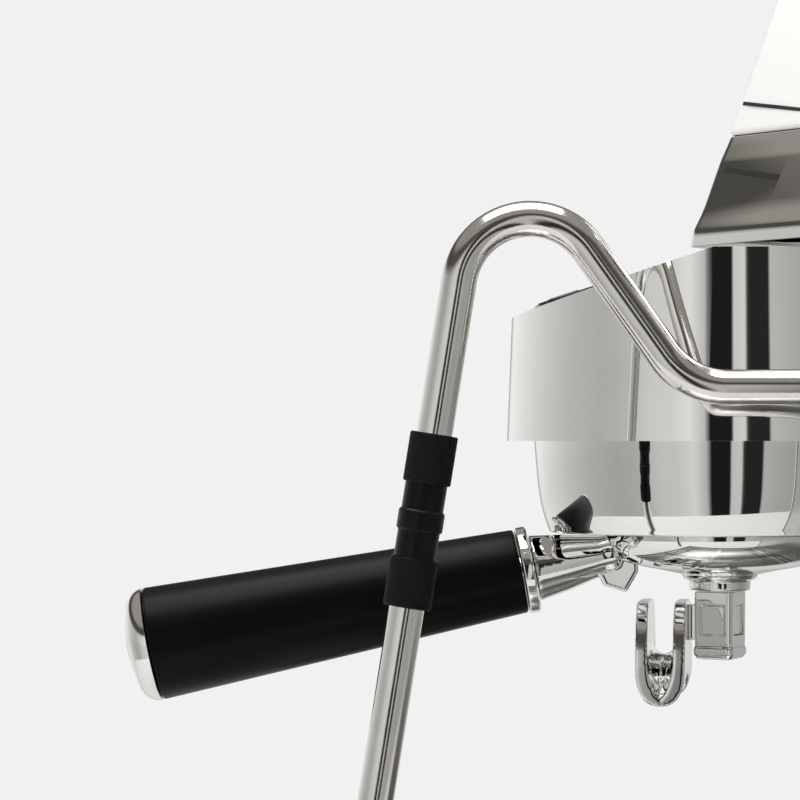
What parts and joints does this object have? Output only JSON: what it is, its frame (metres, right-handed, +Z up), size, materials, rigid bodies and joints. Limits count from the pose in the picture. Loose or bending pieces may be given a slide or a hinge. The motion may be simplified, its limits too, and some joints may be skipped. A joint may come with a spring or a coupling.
{
  "type": "espresso machine",
  "caption": "Compact espresso machine with a round chrome brew group, a portafilter with an open-trough spout, an arched steam wand, a slanted white hood and a drip tray.",
  "frame": {"origin": "centre of the machine's footprint box, on the surface its feet stand on", "axes": "+Z up, +Y to the back of the machine, +X to the right as seen by the user, so the steam wand is on +X"},
  "size_m": [0.3, 0.479, 0.4245],
  "materials": {
    "chrome": "polished chrome",
    "stainless": "brushed stainless steel",
    "wand_steel": "polished stainless tube",
    "white_paint": "gloss white powder coat",
    "black_plastic": "black moulded plastic",
    "grip": "satin black soft-touch",
    "sleeve": "matt black, knurled",
    "black_glass": "gloss black inlay",
    "rubber": "matt rubber",
    "brass": "machined brass",
    "copper": "drawn copper",
    "dark_paint": "dark grey powder coat",
    "clear": "clear smoked plastic",
    "silicone": "translucent silicone",
    "needle": "red enamel"
  },
  "bodies": {
    "root": {"fascia_band": "chrome", "cup_rail": "chrome", "group_cover": "chrome", "group_bell": "chrome", "wand_socket": "chrome", "gauge_case": "chrome", "base_shell": "stainless", "splash_panel": "stainless", "rear_panel": "stainless", "cup_tray": "stainless", "shower_screen": "stainless", "brew_boiler": "stainless", "steam_boiler": "stainless", "left_side_panel": "white_paint", "right_side_panel": "white_paint", "hood_shell": "white_paint", "power_inlet": "black_plastic", "control_box": "black_plastic", "display_plate": "black_glass", "foot_front_left": "rubber", "foot_front_right": "rubber", "foot_rear_left": "rubber", "foot_rear_right": "rubber", "group_gasket": "rubber", "group_head": "brass", "pump_body": "brass", "solenoid_valve": "brass", "steam_valve": "brass", "hot_water_valve": "brass", "steam_feed_pipe": "copper", "steam_wand_pipe": "copper", "hot_water_pipe": "copper", "boiler_fill_pipe": "copper", "brew_heater": "copper", "steam_heater": "copper", "chassis_pan": "dark_paint", "pump_motor": "dark_paint", "gauge_glass": "clear", "suction_hose": "silicone"},
    "portafilter": {"portafilter_body": "chrome", "filter_basket": "stainless", "spout": "chrome", "handle_ferrule": "chrome", "handle_grip": "grip", "handle_end_cap": "chrome"},
    "wand_pivot": {"wand_ball": "chrome"},
    "steam_wand": {"wand_tube": "wand_steel", "wand_sleeve": "sleeve", "wand_tip": "wand_steel"},
    "steam_knob": {"steam_knob": "black_plastic"},
    "hot_water_knob": {"hot_water_knob": "black_plastic"},
    "hot_water_spout": {"hot_water_spout": "chrome"},
    "gauge_needle": {"gauge_needle": "needle"},
    "power_switch": {"power_switch": "black_plastic"},
    "brew_button": {"brew_button": "chrome"},
    "drip_tray": {"drip_tray": "stainless"},
    "drip_grate": {"drip_grate": "stainless"},
    "water_tank": {"water_tank": "clear"},
    "tank_lid": {"tank_lid": "stainless"},
    "motor_shaft": {"motor_shaft": "stainless"}
  },
  "joints": [
    {"name": "portafilter_turn", "type": "hinge", "parent": "root", "child": "portafilter", "pos_m": [0, -0.05355, 0.2], "axis": [0, 0, 1], "range_deg": [-45, 5]},
    {"name": "wand_yaw", "type": "hinge", "parent": "root", "child": "wand_pivot", "pos_m": [0.1, 0.03845, 0.256], "axis": [0, 0, 1], "range_deg": [-5, 18]},
    {"name": "wand_roll", "type": "hinge", "parent": "wand_pivot", "child": "steam_wand", "pos_m": [0.1, 0.03845, 0.256], "axis": [0, 1, 0], "range_deg": [-45, 20]},
    {"name": "steam_knob_turn", "type": "hinge", "parent": "root", "child": "steam_knob", "pos_m": [0.08507, 0.02316, 0.3676], "axis": [0.5423, -0.7745, 0.3256], "range_deg": [0, 270]},
    {"name": "hot_water_knob_turn", "type": "hinge", "parent": "root", "child": "hot_water_knob", "pos_m": [-0.08507, 0.02316, 0.3676], "axis": [-0.5423, -0.7745, 0.3256], "range_deg": [0, 270]},
    {"name": "hot_water_spout_swivel", "type": "hinge", "parent": "root", "child": "hot_water_spout", "pos_m": [-0.1, 0.02645, 0.3], "axis": [0, 0, 1], "range_deg": [-60, 60]},
    {"name": "gauge_needle_sweep", "type": "hinge", "parent": "root", "child": "gauge_needle", "pos_m": [-0.03406, -0.01256, 0.3676], "axis": [-0.5423, -0.7745, 0.3256], "range_deg": [-270, 0], "stiffness_Nm_per_rad": 0.0002},
    {"name": "power_switch_rock", "type": "hinge", "parent": "root", "child": "power_switch", "pos_m": [0.03406, -0.01256, 0.3676], "axis": [0.8191, 0.5736, 0], "range_deg": [0, 15]},
    {"name": "brew_button_press", "type": "slide", "parent": "root", "child": "brew_button", "axis": [0, 0.309, -0.9511], "range_m": [0, 0.0015], "stiffness_N_per_m": 300, "springref_m": -0.001},
    {"name": "drip_tray_slide", "type": "slide", "parent": "root", "child": "drip_tray", "axis": [0, -1, 0], "range_m": [0, 0.18]},
    {"name": "drip_grate_lift", "type": "slide", "parent": "drip_tray", "child": "drip_grate", "axis": [0, 0, 1], "range_m": [0, 0.03]},
    {"name": "water_tank_lift", "type": "slide", "parent": "root", "child": "water_tank", "axis": [0, 0, 1], "range_m": [0, 0.2]},
    {"name": "tank_lid_hinge", "type": "hinge", "parent": "water_tank", "child": "tank_lid", "pos_m": [0, 0.22545, 0.40285], "axis": [-1, 0, 0], "range_deg": [0, 100]},
    {"name": "motor_spin", "type": "hinge", "parent": "root", "child": "motor_shaft", "pos_m": [-0.03, 0.10645, 0.076], "axis": [1, 0, 0], "continuous": true}
  ]
}
